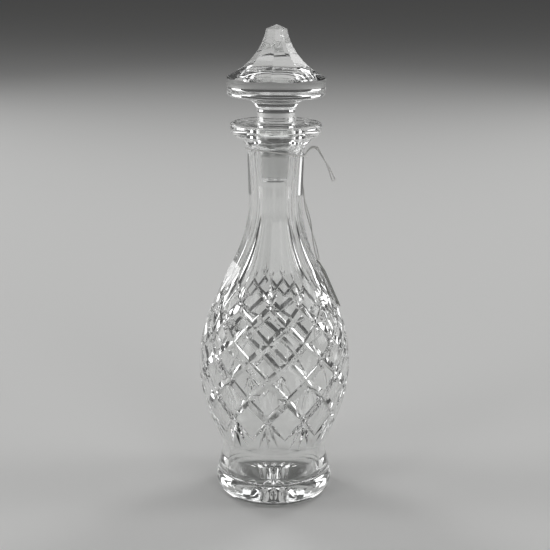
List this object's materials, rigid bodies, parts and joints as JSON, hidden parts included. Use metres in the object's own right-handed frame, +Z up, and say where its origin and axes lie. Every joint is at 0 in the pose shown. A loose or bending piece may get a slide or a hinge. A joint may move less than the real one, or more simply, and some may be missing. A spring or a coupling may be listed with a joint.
{
  "type": "cut crystal decanter",
  "caption": "Footed wine decanter in clear cut crystal, with a diamond-cut belly, panelled neck, star-cut underside, drop-in faceted stopper and a blank tie-on string tag",
  "frame": {"origin": "the middle of the foot's underside, on the surface that the decanter stands on", "axes": "+Z is up along the decanter's axis, -Y is the front, and +X is the side where the tag hangs"},
  "size_m": [0.106, 0.106, 0.33],
  "materials": {
    "crystal": "clear lead crystal, hand cut and polished",
    "stopper_crystal": "clear lead crystal, cut and polished, with a ground peg",
    "string": "white twisted cotton string",
    "card": "blank white card"
  },
  "bodies": {
    "vessel": {"decanter_body": "crystal", "neck_string": "string", "neck_knot": "string", "tag_string": "string", "string_tail": "string", "tail_knot": "string", "price_tag": "card"},
    "stopper": {"stopper": "stopper_crystal"}
  },
  "joints": [
    {"name": "stopper_lift", "type": "slide", "parent": "vessel", "child": "stopper", "axis": [0, 0, 1], "range_m": [0, 0.06]}
  ]
}
